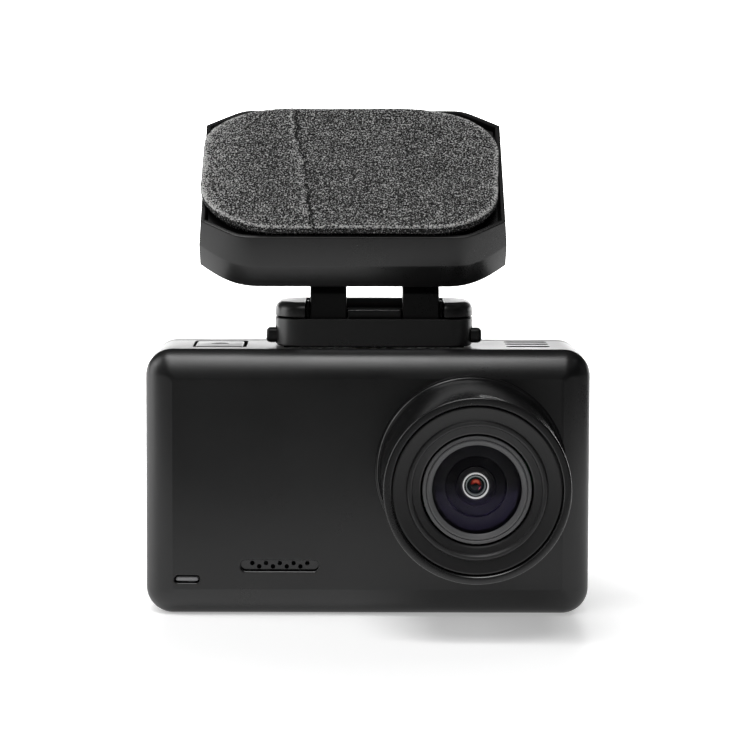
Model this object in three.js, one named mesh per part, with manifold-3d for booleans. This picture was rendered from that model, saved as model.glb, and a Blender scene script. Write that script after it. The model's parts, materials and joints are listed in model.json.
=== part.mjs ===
// A dash camera standing on its base, with its windscreen mount on top.
// Millimetres, +Z up. The lens looks along -Y, and +X is on the right of someone facing the lens.
// The origin is on the underside of the casing, at the middle of its flat resting face.
import * as THREE from "three";
import { mergeVertices } from "three/addons/utils/BufferGeometryUtils.js";
import Module from "manifold-3d";

const wasm = await Module();
wasm.setup();

// ---- driving dimensions ----
const GAP = 0.3; // between pieces that would touch

const BODY = { w: 84, h: 50.5, corner: 5, wall: 1.8 };
const FACE_Y = -13.8; // flat front face
const EDGE_Y = -9.8; // where the sides end and the front shoulder begins
const PART_Y = 6; // parting plane of front shell and rear cover
const BACK_Y = 10.8;
const SHOULDER = 5.2; // how far the flat front face is set in from the sides
const TOP_Z = BODY.h;
const SCREW_XZ = [[-38, 5.4], [38, 5.4], [38, 45.1], [-38, 45.1]];

const LENS = { x: 19.4, z: 28, collar: 18.1, rim: 16.9, nose: -38.1 };
const SPEAKER = { x: -16.6, z: 9.7, slot: 14.8, height: 2.1 };
const WINDOW = { x: -34.1, z: 7.1, w: 4.9, h: 1.5 };
const VENTS = { x: 30.4, w: 8.8, d: 1.2, y: [-4.6, -0.3, 3.6] };
const PORT = { x: -28.3, y: -1.05, w: 10.3, d: 11.7, depth: 1.5 };
const SCREEN = { x: 7.5, z: 25.5, w: 52, h: 40 };
const BUTTONS = { x: -28, z: [13, 21.3, 29.7, 38], names: ["menu", "down", "up", "power"] };
const BOARD_Y = [2.0, 3.2];

const FOOT = { x: 1.15, w: 37.7, front: -9.6, back: 5.2, corner: 5.9, base: 50.8, split: 56.1, top: 59.2 };
const POCKET = { x0: -11.9, x1: 14.4, back: 2.0, floor: 52 };
const AXIS = { y: -2.8, z: 56.2, r: 1.5 };
const ARMS = [[-11, -4.1], [6.55, 13.5]];
const LATCH = { proud: 1.7, y0: -7.4, y1: -3.0, z0: 51.2, z1: 54.1 };

const HEAD = { x: -2.9, tilt: 40, v: 18.8 };
// The head's outline at its rim and round its lower box: half sizes, where the corner bends away from
// the long edge, and the point and slant at which it meets the short end.
const HEAD_RIM = { halfW: 28.6, halfV: 18.15, vertex: 13.7, from: 18.5, bend: 22, reach: 8, slant: 32 };
const HEAD_BOX = { halfW: 29.05, halfV: 20.42, vertex: 14.5, from: 17.5, bend: 22, reach: 6, slant: 44 };
const HEAD_W = { bottom: 9.3, wall: 14.6, rim: 19.96 };
const PAD = { x: -3.1, v: 18.4, w: 54.2, h: 33.4, corner: 12, proud: 2.1 };

// ---- finishes ----
const finish = (color, roughness, metalness = 0) =>
  new THREE.MeshStandardMaterial({ color, roughness, metalness });
const casingBlack = finish(0x2b2b2c, 0.42);
const mountBlack = finish(0x222223, 0.5);
const satinBlack = finish(0x2d2d2e, 0.35);
const gloss = finish(0x08080a, 0.08);
const glass = finish(0x0b0a14, 0.02);
const boardGreen = finish(0x17452c, 0.55);
const steel = finish(0xb9bbbd, 0.3, 1);
const brass = finish(0xc9a45a, 0.35, 1);
const grey = finish(0x9aa0a4, 0.5);
const ceramic = finish(0xd8cbb4, 0.6);
const foam = finish(0x3a3a3a, 0.95);

// ---- geometry helpers ----
const toSolid = (geometry) => {
  const bare = geometry.clone();
  bare.deleteAttribute("normal");
  bare.deleteAttribute("uv");
  const merged = mergeVertices(bare, 1e-4);
  return new wasm.Manifold(new wasm.Mesh({
    numProp: 3,
    vertProperties: merged.attributes.position.array,
    triVerts: new Uint32Array(merged.index.array),
  }));
};

const toGeometry = (solid) => {
  const mesh = solid.getMesh();
  const geometry = new THREE.BufferGeometry();
  geometry.setAttribute("position", new THREE.BufferAttribute(mesh.vertProperties, 3));
  geometry.setIndex(new THREE.BufferAttribute(mesh.triVerts, 1));
  geometry.computeVertexNormals();
  return geometry;
};

const join = (first, ...rest) =>
  toGeometry(rest.reduce((sum, g) => sum.add(toSolid(g)), toSolid(first)));
const cut = (first, ...rest) =>
  toGeometry(rest.reduce((sum, g) => sum.subtract(toSolid(g)), toSolid(first)));

// A box between two corners.
const block = ([x0, y0, z0], [x1, y1, z1]) =>
  new THREE.BoxGeometry(x1 - x0, y1 - y0, z1 - z0)
    .translate((x0 + x1) / 2, (y0 + y1) / 2, (z0 + z1) / 2);

// A rounded rectangle, centred on (cx, cy).
const roundedRect = (w, h, r, cx = 0, cy = 0) => {
  const [x, y] = [w / 2 - r, h / 2 - r];
  return new THREE.Shape()
    .absarc(cx + x, cy - y, r, -Math.PI / 2, 0)
    .absarc(cx + x, cy + y, r, 0, Math.PI / 2)
    .absarc(cx - x, cy + y, r, Math.PI / 2, Math.PI)
    .absarc(cx - x, cy - y, r, Math.PI, 1.5 * Math.PI);
};
const disc = (r, cx = 0, cy = 0) => new THREE.Shape().absarc(cx, cy, r, 0, 2 * Math.PI);
// The points round a rounded rectangle: each corner's arc is cut into twice as many chords as steps.
const around = (shape, steps) => shape.extractPoints(steps).shape.slice(0, 4 * (2 * steps + 1));

const extrude = (shape, depth, curveSegments) =>
  new THREE.ExtrudeGeometry(shape, { depth, bevelEnabled: false, curveSegments });
// A shape drawn in X and Z, between two places along Y.
const alongY = (shape, y0, y1, segments = 6) =>
  extrude(shape, y1 - y0, segments).rotateX(Math.PI / 2).translate(0, y1, 0);
// A shape drawn in X and Y, between two heights.
const alongZ = (shape, z0, z1, segments = 6) =>
  extrude(shape, z1 - z0, segments).translate(0, 0, z0);
// A shape drawn in Y and Z, between two places along X.
const sideways = new THREE.Matrix4().makeBasis(
  new THREE.Vector3(0, 1, 0), new THREE.Vector3(0, 0, 1), new THREE.Vector3(1, 0, 0));
const alongX = (shape, x0, x1, segments = 6) =>
  extrude(shape, x1 - x0, segments).applyMatrix4(sideways).translate(x0, 0, 0);

// A ring turned about an axis parallel to Y: the profile is a closed loop of [radius, y].
const turned = (profile, x, z, segments = 32) => {
  const points = profile.map(([r, y]) => new THREE.Vector2(r, y));
  if (THREE.ShapeUtils.area(points) < 0) points.reverse();
  if (points.every((p) => p.x > 0)) points.push(points[0].clone());
  return new THREE.LatheGeometry(points, segments).translate(x, 0, z);
};

// A closed skin over rings of points, each ring with the same count, ends closed by flat fans.
const skin = (rings) => {
  const count = rings[0].length;
  const middle = (ring) =>
    ring.reduce((sum, p) => sum.add(p), new THREE.Vector3()).divideScalar(count);
  const points = [...rings.flat(), middle(rings[0]), middle(rings.at(-1))];
  const faces = [];
  for (let i = 0; i < count; i++) {
    const j = (i + 1) % count;
    for (let k = 0; k < rings.length - 1; k++) {
      const [a, b] = [k * count, (k + 1) * count];
      faces.push(a + i, a + j, b + j, a + i, b + j, b + i);
    }
    const last = (rings.length - 1) * count;
    faces.push(rings.length * count, j, i);
    faces.push(rings.length * count + 1, last + i, last + j);
  }
  const build = (order) => {
    const geometry = new THREE.BufferGeometry();
    const flat = points.flatMap((p) => p.toArray());
    geometry.setAttribute("position", new THREE.Float32BufferAttribute(flat, 3));
    geometry.setIndex(order);
    return geometry;
  };
  const outward = build(faces);
  return toSolid(outward).volume() > 0 ? outward : build(faces.reverse());
};

// ---- scene graph helpers ----
const camera = new THREE.Group();
camera.name = "dash_camera";
const head = new THREE.Group(); // local Y runs up the sloping head, local Z is its face's normal
head.position.set(0, AXIS.y, AXIS.z);
head.rotation.x = THREE.MathUtils.degToRad(HEAD.tilt);
camera.add(head);

const piece = (name, geometry, material, parent = camera) => {
  const mesh = new THREE.Mesh(geometry, material);
  mesh.name = name;
  parent.add(mesh);
  return mesh;
};

// ---- casing ----
const casingRing = (inset, y) => {
  const r = Math.max(BODY.corner - inset, 0.8);
  const outline = roundedRect(BODY.w - 2 * inset, BODY.h - 2 * inset, r, 0, BODY.h / 2);
  return around(outline, 3).map((p) => new THREE.Vector3(p.x, y, p.y));
};

// The convex shoulder from the sides to the front face, as [inset, depth] from 0 to 1.
const shoulder = new THREE.QuadraticBezierCurve(
  new THREE.Vector2(0, 0), new THREE.Vector2(0.16, 0.68), new THREE.Vector2(1, 1));

function frontShell() {
  const outer = [casingRing(0, PART_Y)];
  for (const p of shoulder.getPoints(5))
    outer.push(casingRing(SHOULDER * p.x, EDGE_Y + (FACE_Y - EDGE_Y) * p.y));
  const { wall } = BODY;
  const inner = [
    casingRing(wall, PART_Y + 1), casingRing(wall, EDGE_Y + 0.6),
    casingRing(SHOULDER - 0.2, FACE_Y + wall),
  ];
  const underTop = TOP_Z - wall;
  const bosses = SCREW_XZ.map(([x, z]) => alongY(disc(2.6, x, z), -6, PART_Y - GAP, 4));
  const portBoss = block([-35, -8.5, 46.5], [-22, 5.7, underTop + 0.5]);
  const hollow = cut(skin(outer), skin(inner));
  const solid = join(hollow, ...bosses, portBoss);
  const slot = roundedRect(SPEAKER.slot, SPEAKER.height, SPEAKER.height / 2 - 0.01, SPEAKER.x, SPEAKER.z);
  const grillePocket = block([SPEAKER.x - 8.9, FACE_Y + 1, SPEAKER.z - 2.5],
    [SPEAKER.x + 8.9, FACE_Y + wall + 1, SPEAKER.z + 2.5]);
  const window = roundedRect(WINDOW.w, WINDOW.h, WINDOW.h / 2 - 0.01, WINDOW.x, WINDOW.z);
  const vents = VENTS.y.map((y) =>
    alongZ(roundedRect(VENTS.w, VENTS.d, VENTS.d / 2 - 0.01, VENTS.x, y), underTop - 1, TOP_Z + 1, 3));
  return cut(
    solid,
    ...SCREW_XZ.map(([x, z]) => alongY(disc(1.2, x, z), -5, PART_Y + 1, 4)),
    alongY(disc(14.35, LENS.x, LENS.z), FACE_Y - 1, FACE_Y + wall + 1, 12),
    alongY(slot, FACE_Y - 1, FACE_Y + 1.2, 4), grillePocket,
    alongY(window, FACE_Y - 1, FACE_Y + wall + 1, 4),
    ...vents,
    alongZ(roundedRect(PORT.w, PORT.d, 0.9, PORT.x, PORT.y), TOP_Z - PORT.depth, TOP_Z + 1, 3),
    alongZ(roundedRect(9.2, 4, 1, PORT.x, 0.1), 45, TOP_Z, 3),
    // the window for the mount's contact pins, and the two wells for its latch hooks
    block([-4.5, 2.0, underTop - 1], [7, 5.0, TOP_Z + 1]),
    ...[-1, 1].map((side) => hookWell(side)),
    // the memory card's slot in the left side
    block([-BODY.w / 2 - 1, -0.6, 19], [-BODY.w / 2 + 3, 1.3, 31]),
  );
}

// Blocks on either side of the foot mirror about its middle.
const mirrored = (side, x0, x1, y0, y1, z0, z1) => {
  const xs = [FOOT.x + side * x0, FOOT.x + side * x1].sort((a, b) => a - b);
  return block([xs[0], y0, z0], [xs[1], y1, z1]);
};
const hookWell = (side) => mirrored(side, 14.3, 17.2, -6.7, -3.7, TOP_Z - 3, TOP_Z + 1);

function rearCover() {
  const shell = cut(
    skin([casingRing(0, PART_Y + GAP), casingRing(0, BACK_Y - 1), casingRing(0.35, BACK_Y - 0.35),
      casingRing(1, BACK_Y)]),
    skin([casingRing(BODY.wall, PART_Y - 1), casingRing(BODY.wall, BACK_Y - BODY.wall)]));
  const bosses = SCREW_XZ.map(([x, z]) => alongY(disc(2.6, x, z), PART_Y + GAP, BACK_Y - 1.5, 4));
  const { x, z, w, h } = SCREEN;
  return cut(
    join(shell, ...bosses),
    alongY(roundedRect(w + 0.6, h + 0.6, 1.5, x, z), BACK_Y - 1.1, BACK_Y + 1, 3),
    alongY(roundedRect(w - 3, h - 3, 1, x, z), 8, BACK_Y, 2),
    ...BUTTONS.z.map((bz) => alongY(roundedRect(7.7, 5.1, 2.5, BUTTONS.x, bz), 8, BACK_Y + 1, 3)),
    ...SCREW_XZ.map(([sx, sz]) => alongY(disc(1.25, sx, sz), PART_Y - 1, BACK_Y + 1, 3)),
    ...SCREW_XZ.map(([sx, sz]) => alongY(disc(2.5, sx, sz), BACK_Y - 1, BACK_Y + 1, 4)),
  );
}

function buildCasing() {
  piece("front_shell", frontShell(), casingBlack);
  piece("rear_cover", rearCover(), casingBlack);
  SCREW_XZ.forEach(([x, z], i) => piece(`casing_screw_${i + 1}`,
    turned([[0, -4.5], [0.9, -4.5], [0.9, 9.9], [2.1, 9.9], [1.9, 10.7], [0, 10.7]], x, z, 10), steel));
}

// ---- electronics ----
function buildElectronics() {
  const { x, z, w, h } = SCREEN;
  piece("screen_glass", alongY(roundedRect(w, h, 1.2, x, z), BACK_Y - 0.8, BACK_Y - 0.05, 3), gloss);
  piece("display_panel", block([x - 24.2, 6.4, z - 18], [x + 24.2, 8.7, z + 18]), grey);

  const outline = block([-38.5, BOARD_Y[0], 3.5], [38.5, BOARD_Y[1], 46]);
  piece("main_board", cut(outline, ...SCREW_XZ.map(([sx, sz]) => alongY(disc(3.2, sx, sz), 0, 5, 5))),
    boardGreen);
  piece("shield_can", block([-4, BOARD_Y[1] + GAP, 19], [18, BOARD_Y[1] + 2.6, 37]), steel);

  const switches = BUTTONS.z.map((bz) =>
    block([BUTTONS.x - 2, 4.4, bz - 2], [BUTTONS.x + 2, 6.6, bz + 2]));
  piece("button_board", join(block([-33, 3.6, 8], [-23, 4.6, 43]), ...switches), boardGreen);
  BUTTONS.names.forEach((name, i) => piece(`button_${name}`,
    join(alongY(roundedRect(7, 4.4, 2.15, BUTTONS.x, BUTTONS.z[i]), 7.9, BACK_Y + 0.5, 3),
      alongY(roundedRect(8.6, 6, 1, BUTTONS.x, BUTTONS.z[i]), 7.5, 8.4, 1)), mountBlack));

  ["lower", "upper"].forEach((place, i) => piece(`supercapacitor_${place}`,
    extrude(disc(4.2), 22, 5).rotateY(Math.PI / 2).translate(-24, -7, 28.5 + 11 * i), gloss));
  piece("usb_socket", cut(
    block([PORT.x - 4.2, -1.5, 41.3], [PORT.x + 4.2, 1.7, 48.6]),
    block([PORT.x - 3.8, -1.1, 42.5], [PORT.x + 3.8, 1.3, 49])), steel);
  piece("card_socket", cut(
    block([-39.6, -1.2, 18.2], [-25.4, 1.7, 31.8]), block([-40, -0.5, 19.2], [-26.2, 1.2, 30.8])), steel);
  piece("memory_card", block([-41.9, -0.1, 19.6], [-27, 0.8, 30.4]), gloss);
  piece("contact_board", block([-6, 1.4, 46.4], [8.5, 5.4, 47.4]), boardGreen);
  piece("microphone", alongY(disc(2, -27, 12), BOARD_Y[0] - 2.6, BOARD_Y[0] - GAP, 4), steel);
}

function buildFrontFittings() {
  const face = cut(
    alongY(roundedRect(17.2, 4.4, 1, SPEAKER.x, SPEAKER.z), FACE_Y + 1.3, FACE_Y + 2.1, 2),
    ...[...Array(9).keys()].map((i) => {
      const up = i % 2 ? -0.32 : 0.32;
      return alongY(disc(0.4, SPEAKER.x + (i - 4) * 1.3, SPEAKER.z + up), FACE_Y, FACE_Y + 3, 2);
    }));
  piece("speaker_grille", face, gloss);
  piece("speaker", turned([[0, -8.9], [6.5, -8.9], [6.5, -7.1], [4.5, -6.6], [4.5, -4.8], [0, -4.8]],
    SPEAKER.x, SPEAKER.z, 20), grey);
  piece("indicator_light_pipe", join(
    alongY(roundedRect(4.3, 0.9, 0.44, WINDOW.x, WINDOW.z), FACE_Y + 0.3, FACE_Y + 2.6, 4),
    alongY(roundedRect(5.4, 2.4, 0.5, WINDOW.x, WINDOW.z), FACE_Y + 2.1, FACE_Y + 3, 2)), grey);

  const lid = cut(
    alongZ(roundedRect(9.5, 10.7, 0.6, PORT.x, PORT.y), TOP_Z - 1.2, TOP_Z - 0.02, 3),
    // the scoop for a fingernail
    extrude(new THREE.Shape().absarc(0, 0, 1.75, 0, Math.PI), 1, 6)
      .translate(PORT.x, PORT.y + 0.1, TOP_Z - 0.6));
  piece("port_cover", lid, casingBlack);
}

// ---- lens ----
function buildLens() {
  const { x, z, collar, rim, nose } = LENS;
  const ring = (name, profile, material, segments) =>
    piece(name, turned(profile, x, z, segments), material);
  ring("lens_housing", [
    [collar, FACE_Y - GAP], [14, FACE_Y - GAP], [14, -11.2], [12.4, -11.2], [12.4, -16.5],
    [14.6, -16.5], [14.6, nose + 2.3], [15.5, nose + 2.3], [15.5, nose + 0.3], [15.8, nose],
    [rim - 0.4, nose], [rim, nose + 0.6], [rim + 0.1, -17.5], [rim + 0.4, -15.9],
    [collar - 0.1, -14.9],
  ], casingBlack, 44);
  ring("lens_front_ring", [
    [15.2, nose + 2], [15.2, nose + 0.6], [12.7, nose + 1], [12.5, nose + 0.6], [11.8, nose + 0.6],
    [11.6, nose + 1.1], [10.15, nose + 1.3], [10.15, nose + 3.6], [11.5, nose + 3.6],
    [11.5, nose + 2],
  ], satinBlack, 36);
  ring("lens_barrel", [
    [9.8, nose + 1.5], [9.8, -29.5], [6, -29.5], [6, -2], [4.9, -2], [4.9, -27], [5.6, -27],
    [5.6, -32.7], [9.1, -32.7], [9.1, nose + 1.5],
  ], satinBlack, 32);
  ring("lens_retaining_ring", [[8.8, nose + 1.4], [8.1, nose + 1.9], [7.9, nose + 2.3],
    [8.8, nose + 2.3]], satinBlack, 32);
  ring("front_lens", [
    [0, nose + 0.5], [3, nose + 0.75], [5.5, nose + 1.35], [7.5, nose + 2.1], [8.6, nose + 2.9],
    [8.6, -33], [6.2, -33], [5, -34.3], [2.8, -35.5], [0, -36],
  ], glass, 28);
  ring("middle_lens", [[0, -32.2], [2.8, -31.9], [5.3, -31], [5.3, -30.2], [0, -29.9]], glass, 24);
  ring("aperture_ring", [[5.3, -29.6], [5.3, -28.8], [1.4, -28.8], [1.4, -29.2], [2.4, -29.6]],
    gloss, 24);
  ring("rear_lens", [[0, -8.4], [4.5, -7.6], [4.5, -5.4], [0, -4.8]], glass, 20);
  const holder = join(
    alongY(roundedRect(17, 17, 1.5, x, z), -1.2, BOARD_Y[0] - GAP, 2),
    alongY(disc(7.8, x, z), -9, -1, 12));
  piece("lens_holder", cut(holder, alongY(disc(6.35, x, z), -10, 3, 12)), gloss);
  piece("filter_glass", block([x - 4, -1.4, z - 4], [x + 4, -1, z + 4]), glass);
  piece("image_sensor", block([x - 4.5, 0.2, z - 4], [x + 4.5, BOARD_Y[0] - GAP, z + 4]), boardGreen);
}

// ---- foot of the mount ----
const footRing = (inset, z) => {
  const [w, d] = [FOOT.w - 2 * inset, FOOT.back - FOOT.front - 2 * inset];
  const outline = roundedRect(w, d, FOOT.corner - inset, FOOT.x, (FOOT.front + FOOT.back) / 2);
  return around(outline, 3).map((p) => new THREE.Vector3(p.x, p.y, z));
};

const axleGroove = alongX(disc(AXIS.r + GAP, AXIS.y, AXIS.z), -17.2, 19.5, 5);

function buildFoot() {
  const { base, split, top } = FOOT;
  const pinSlot = block([-4.2, 2.5, base - 1], [6.7, 4.7, split - 1]);
  const screwHoles = [-1, 1].flatMap((side) => [
    alongZ(disc(1.2, FOOT.x + side * 15.4, 2.2), base - 1, top - 1.5, 4),
    alongZ(disc(2.1, FOOT.x + side * 15.4, 2.2), base - 1, base + 1.2, 4),
  ]);
  piece("foot_base", cut(
    skin([footRing(0.3, base), footRing(0, base + 0.4), footRing(0, split)]),
    block([POCKET.x0, FOOT.front + 1.3, POCKET.floor], [POCKET.x1, POCKET.back, split + 1]),
    axleGroove, pinSlot, ...screwHoles,
    ...[-1, 1].flatMap((side) => [
      mirrored(side, 14.05, 17.05, -8.2, -2.2, base - 1, LATCH.z1 + GAP),
      mirrored(side, 16, 20, LATCH.y0 - GAP, LATCH.y1 + GAP, base - 1, LATCH.z1 + GAP),
    ]),
  ), mountBlack);
  piece("foot_cap", cut(
    skin([footRing(0, split + GAP), footRing(0, top - 1.3), footRing(0.35, top - 0.45),
      footRing(1.1, top)]),
    block([POCKET.x0, FOOT.front - 1, split], [POCKET.x1, POCKET.back, top + 1]),
    axleGroove, ...screwHoles,
  ), mountBlack);
  piece("hinge_axle", alongX(disc(AXIS.r, AXIS.y, AXIS.z), -16.9, 19.2, 6), steel);
  piece("contact_pins", join(
    block([-3.9, 2.8, base + 0.2], [6.4, 4.4, split - 1.3]),
    ...[0, 1, 2, 3].map((i) => alongZ(disc(0.5, -1.75 + 2 * i, 3.6), 48.2, base + 1, 2))), brass);
  [-1, 1].forEach((side) => {
    const name = side < 0 ? "left" : "right";
    piece(`foot_screw_${name}`, turnedUpright(
      [[0, base + 0.2], [1.8, base + 0.2], [1.8, base + 0.8], [0.85, base + 0.9], [0.85, base + 6],
        [0, base + 6]], FOOT.x + side * 15.4, 2.2), steel);
    piece(`latch_${name}`, join(
      mirrored(side, 16.1, FOOT.w / 2 + LATCH.proud, LATCH.y0, LATCH.y1, LATCH.z0, LATCH.z1),
      mirrored(side, 15.5, 16.6, -7.9, -2.5, LATCH.z0, LATCH.z1),
      mirrored(side, 15.7, 16.5, -6.2, -4.2, TOP_Z - 1.2, LATCH.z0 + 0.5)), mountBlack);
    piece(`latch_spring_${name}`,
      mirrored(side, 14.3, 15.2, -6, -4.4, LATCH.z0 + 0.3, LATCH.z1 - 0.3), steel);
    const [gap0, gap1] = side < 0 ? [POCKET.x0, ARMS[0][0]] : [ARMS[1][1], POCKET.x1];
    const washer = cut(alongX(disc(3, AXIS.y, AXIS.z), gap0 + GAP, gap1 - GAP, 5),
      alongX(disc(AXIS.r + GAP, AXIS.y, AXIS.z), gap0, gap1, 5));
    piece(`friction_washer_${name}`, washer, brass);
  });
}

// A solid turned about an axis parallel to Z, from a profile of [radius, z] that starts and ends on it.
function turnedUpright(profile, x, y, segments = 10) {
  const points = profile.map(([r, z]) => new THREE.Vector2(r, z));
  return new THREE.LatheGeometry(points, segments).rotateX(Math.PI / 2).translate(x, y, 0);
}

// ---- head of the mount, in the head's own tilted frame ----
// share is 0 for the rim's outline and 1 for the lower box's.
const headRing = (share, w, inset = 0, steps = 5) => {
  const mixed = (key) => HEAD_RIM[key] + (HEAD_BOX[key] - HEAD_RIM[key]) * share;
  const slant = THREE.MathUtils.degToRad(mixed("slant"));
  const slide = inset * Math.tan(slant / 2);
  const edge = mixed("halfV") - inset;
  const end = new THREE.Vector2(mixed("halfW") - inset,
    mixed("vertex") - (inset * (1 - Math.sin(slant))) / Math.cos(slant));
  const handle = new THREE.Vector2(-Math.cos(slant), Math.sin(slant)).multiplyScalar(mixed("reach"));
  const corner = new THREE.CubicBezierCurve(new THREE.Vector2(mixed("from") - slide, edge),
    new THREE.Vector2(mixed("bend") - slide, edge), handle.add(end), end).getPoints(steps);
  const ring = [];
  for (const [sx, sv] of [[1, 1], [-1, 1], [-1, -1], [1, -1]]) {
    const stretch = corner.map((p) => new THREE.Vector3(HEAD.x + sx * p.x, HEAD.v + sv * p.y, w));
    ring.push(...(sx * sv > 0 ? stretch.reverse() : stretch));
  }
  return ring;
};

function armProfile() {
  const knuckle = 3.9;
  const shape = new THREE.Shape();
  shape.absarc(0, 0, knuckle, THREE.MathUtils.degToRad(150), THREE.MathUtils.degToRad(380));
  shape.lineTo(5.5, 5.8).lineTo(8, 10.3).lineTo(2.6, 10.3).lineTo(1.9, 6.05).lineTo(0.3, 5.75);
  return shape;
}

function buildHead() {
  const { bottom, wall, rim } = HEAD_W;
  const skinWall = 1.4;
  const lip = 0.9;
  const trayTop = rim - 1.1;
  const body = cut(
    skin([headRing(1, bottom, 0.3), headRing(1, bottom + 0.3), headRing(1, wall),
      headRing(0.05, rim - 0.3), headRing(0, rim, 0.25)]),
    skin([headRing(1, bottom + skinWall, skinWall), headRing(1, wall, skinWall),
      headRing(0, trayTop - 1.4, skinWall), headRing(0, trayTop - 1.3, lip), headRing(0, rim + 1, lip)]));
  const arms = ARMS.map(([x0, x1]) => alongX(armProfile(), x0, x1, 10));
  const bosses = [-1, 1].map((side) =>
    alongZ(disc(2.2, HEAD.x + side * 22, HEAD.v), bottom + 0.5, trayTop - 1.7, 5));
  const bore = alongX(disc(AXIS.r + GAP), -20, 20, 6);
  const screwBores = [-1, 1].map((side) =>
    alongZ(disc(0.95, HEAD.x + side * 22, HEAD.v), bottom + 3, trayTop, 4));
  // the arms' roots reach a little way through the floor and stop inside it
  piece("head_shell", cut(join(body, ...arms, ...bosses), bore, ...screwBores), mountBlack, head);

  const trayScrews = [-1, 1].flatMap((side) => [
    alongZ(disc(1, HEAD.x + side * 22, HEAD.v), trayTop - 3, trayTop + 1, 4),
    alongZ(disc(2, HEAD.x + side * 22, HEAD.v), trayTop - 0.7, trayTop + 1, 4),
  ]);
  piece("head_tray", cut(
    skin([headRing(0, trayTop - 1.3 + GAP, lip + GAP), headRing(0, trayTop, lip + GAP)]), ...trayScrews),
  mountBlack, head);
  [-1, 1].forEach((side) => {
    const points = [[0, trayTop - 6.2], [0.65, trayTop - 6.2], [0.65, trayTop - 0.45], [1.7, trayTop - 0.4],
      [1.7, trayTop - 0.05], [0, trayTop - 0.05]];
    piece(`head_screw_${side < 0 ? "left" : "right"}`,
      turnedUpright(points, HEAD.x + side * 22, HEAD.v), steel, head);
  });

  const padRing = (inset, w) => {
    const [across, up] = [PAD.w - 2 * inset, PAD.h - 2 * inset];
    return around(roundedRect(across, up, PAD.corner - inset, PAD.x, PAD.v), 4)
      .map((p) => new THREE.Vector3(p.x, p.y, w));
  };
  piece("foam_pad", skin([padRing(0.2, trayTop + GAP), padRing(0, trayTop + 0.8),
    padRing(0, rim + PAD.proud - 0.3), padRing(0.3, rim + PAD.proud)]), foam, head);

  piece("gps_board", block([-18, 8, bottom + 1.9], [12, 30, bottom + 2.9]), boardGreen, head);
  piece("gps_antenna", block([-11, 11, bottom + 3.2], [5, 27, bottom + 7.2]), ceramic, head);
}

buildCasing();
buildElectronics();
buildFrontFittings();
buildLens();
buildFoot();
buildHead();

export default camera;
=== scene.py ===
"""The looks of a dash camera on its windscreen mount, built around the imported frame."""

import json
import math

import bmesh
import bpy
from mathutils import Matrix, Vector, noise


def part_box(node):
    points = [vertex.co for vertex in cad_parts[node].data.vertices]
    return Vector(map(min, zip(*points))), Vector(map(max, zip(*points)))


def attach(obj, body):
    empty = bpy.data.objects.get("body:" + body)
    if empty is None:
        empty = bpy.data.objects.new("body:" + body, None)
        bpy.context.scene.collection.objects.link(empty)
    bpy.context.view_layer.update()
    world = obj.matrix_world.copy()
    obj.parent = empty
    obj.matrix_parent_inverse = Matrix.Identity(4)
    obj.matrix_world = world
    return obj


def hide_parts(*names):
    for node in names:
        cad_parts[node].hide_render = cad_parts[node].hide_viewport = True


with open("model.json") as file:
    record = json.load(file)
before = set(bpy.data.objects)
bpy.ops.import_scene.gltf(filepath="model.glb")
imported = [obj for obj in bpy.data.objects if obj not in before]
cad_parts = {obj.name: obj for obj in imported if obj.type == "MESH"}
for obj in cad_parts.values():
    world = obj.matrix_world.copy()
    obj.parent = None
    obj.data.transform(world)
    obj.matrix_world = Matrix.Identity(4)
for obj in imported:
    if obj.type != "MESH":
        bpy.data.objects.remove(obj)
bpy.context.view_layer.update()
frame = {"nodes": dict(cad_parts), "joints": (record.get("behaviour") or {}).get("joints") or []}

MM = 0.001  # shapes are written in millimetres and stored in metres


def cad_mm(node):
    """A CAD node's lowest and highest corners, in millimetres."""
    low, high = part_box(node)
    return Vector(low) / MM, Vector(high) / MM


# ---- places and sizes, from the frame where it has them ----
SHELL_LOW, SHELL_HIGH = cad_mm("front_shell")
HOUSING_LOW, HOUSING_HIGH = cad_mm("lens_housing")
FOOT_LOW, FOOT_HIGH = cad_mm("foot_base")
CAP_LOW, CAP_HIGH = cad_mm("foot_cap")
SCREEN_LOW, SCREEN_HIGH = cad_mm("screen_glass")

BODY_W = SHELL_HIGH.x - SHELL_LOW.x
BODY_H = SHELL_HIGH.z - SHELL_LOW.z
TOP_Z = SHELL_HIGH.z
FACE_Y, PART_Y = SHELL_LOW.y, SHELL_HIGH.y
BACK_Y = cad_mm("rear_cover")[1].y
EDGE_Y = FACE_Y + 4.0  # where the sides end and the shoulder begins
SHOULDER = 5.2
CORNER = 5.0
WALL = 1.8
LENS_X = (HOUSING_LOW.x + HOUSING_HIGH.x) / 2
LENS_Z = (HOUSING_LOW.z + HOUSING_HIGH.z) / 2
COLLAR_R = (HOUSING_HIGH.x - HOUSING_LOW.x) / 2
RIM_R = 16.9
NOSE_Y = HOUSING_LOW.y
SCREEN_W, SCREEN_H = SCREEN_HIGH.x - SCREEN_LOW.x, SCREEN_HIGH.z - SCREEN_LOW.z
SCREEN_AT = ((SCREEN_LOW.x + SCREEN_HIGH.x) / 2, (SCREEN_LOW.z + SCREEN_HIGH.z) / 2)

TILT_JOINT = next(j for j in frame["joints"] if j["name"] == "head_tilt")
AXIS = Vector(TILT_JOINT["pos_m"]) / MM
HEAD_TILT = math.radians(40)
HEAD_X, HEAD_V = -2.9, 18.8  # the head's middle across and up its slope, from the axle
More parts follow.
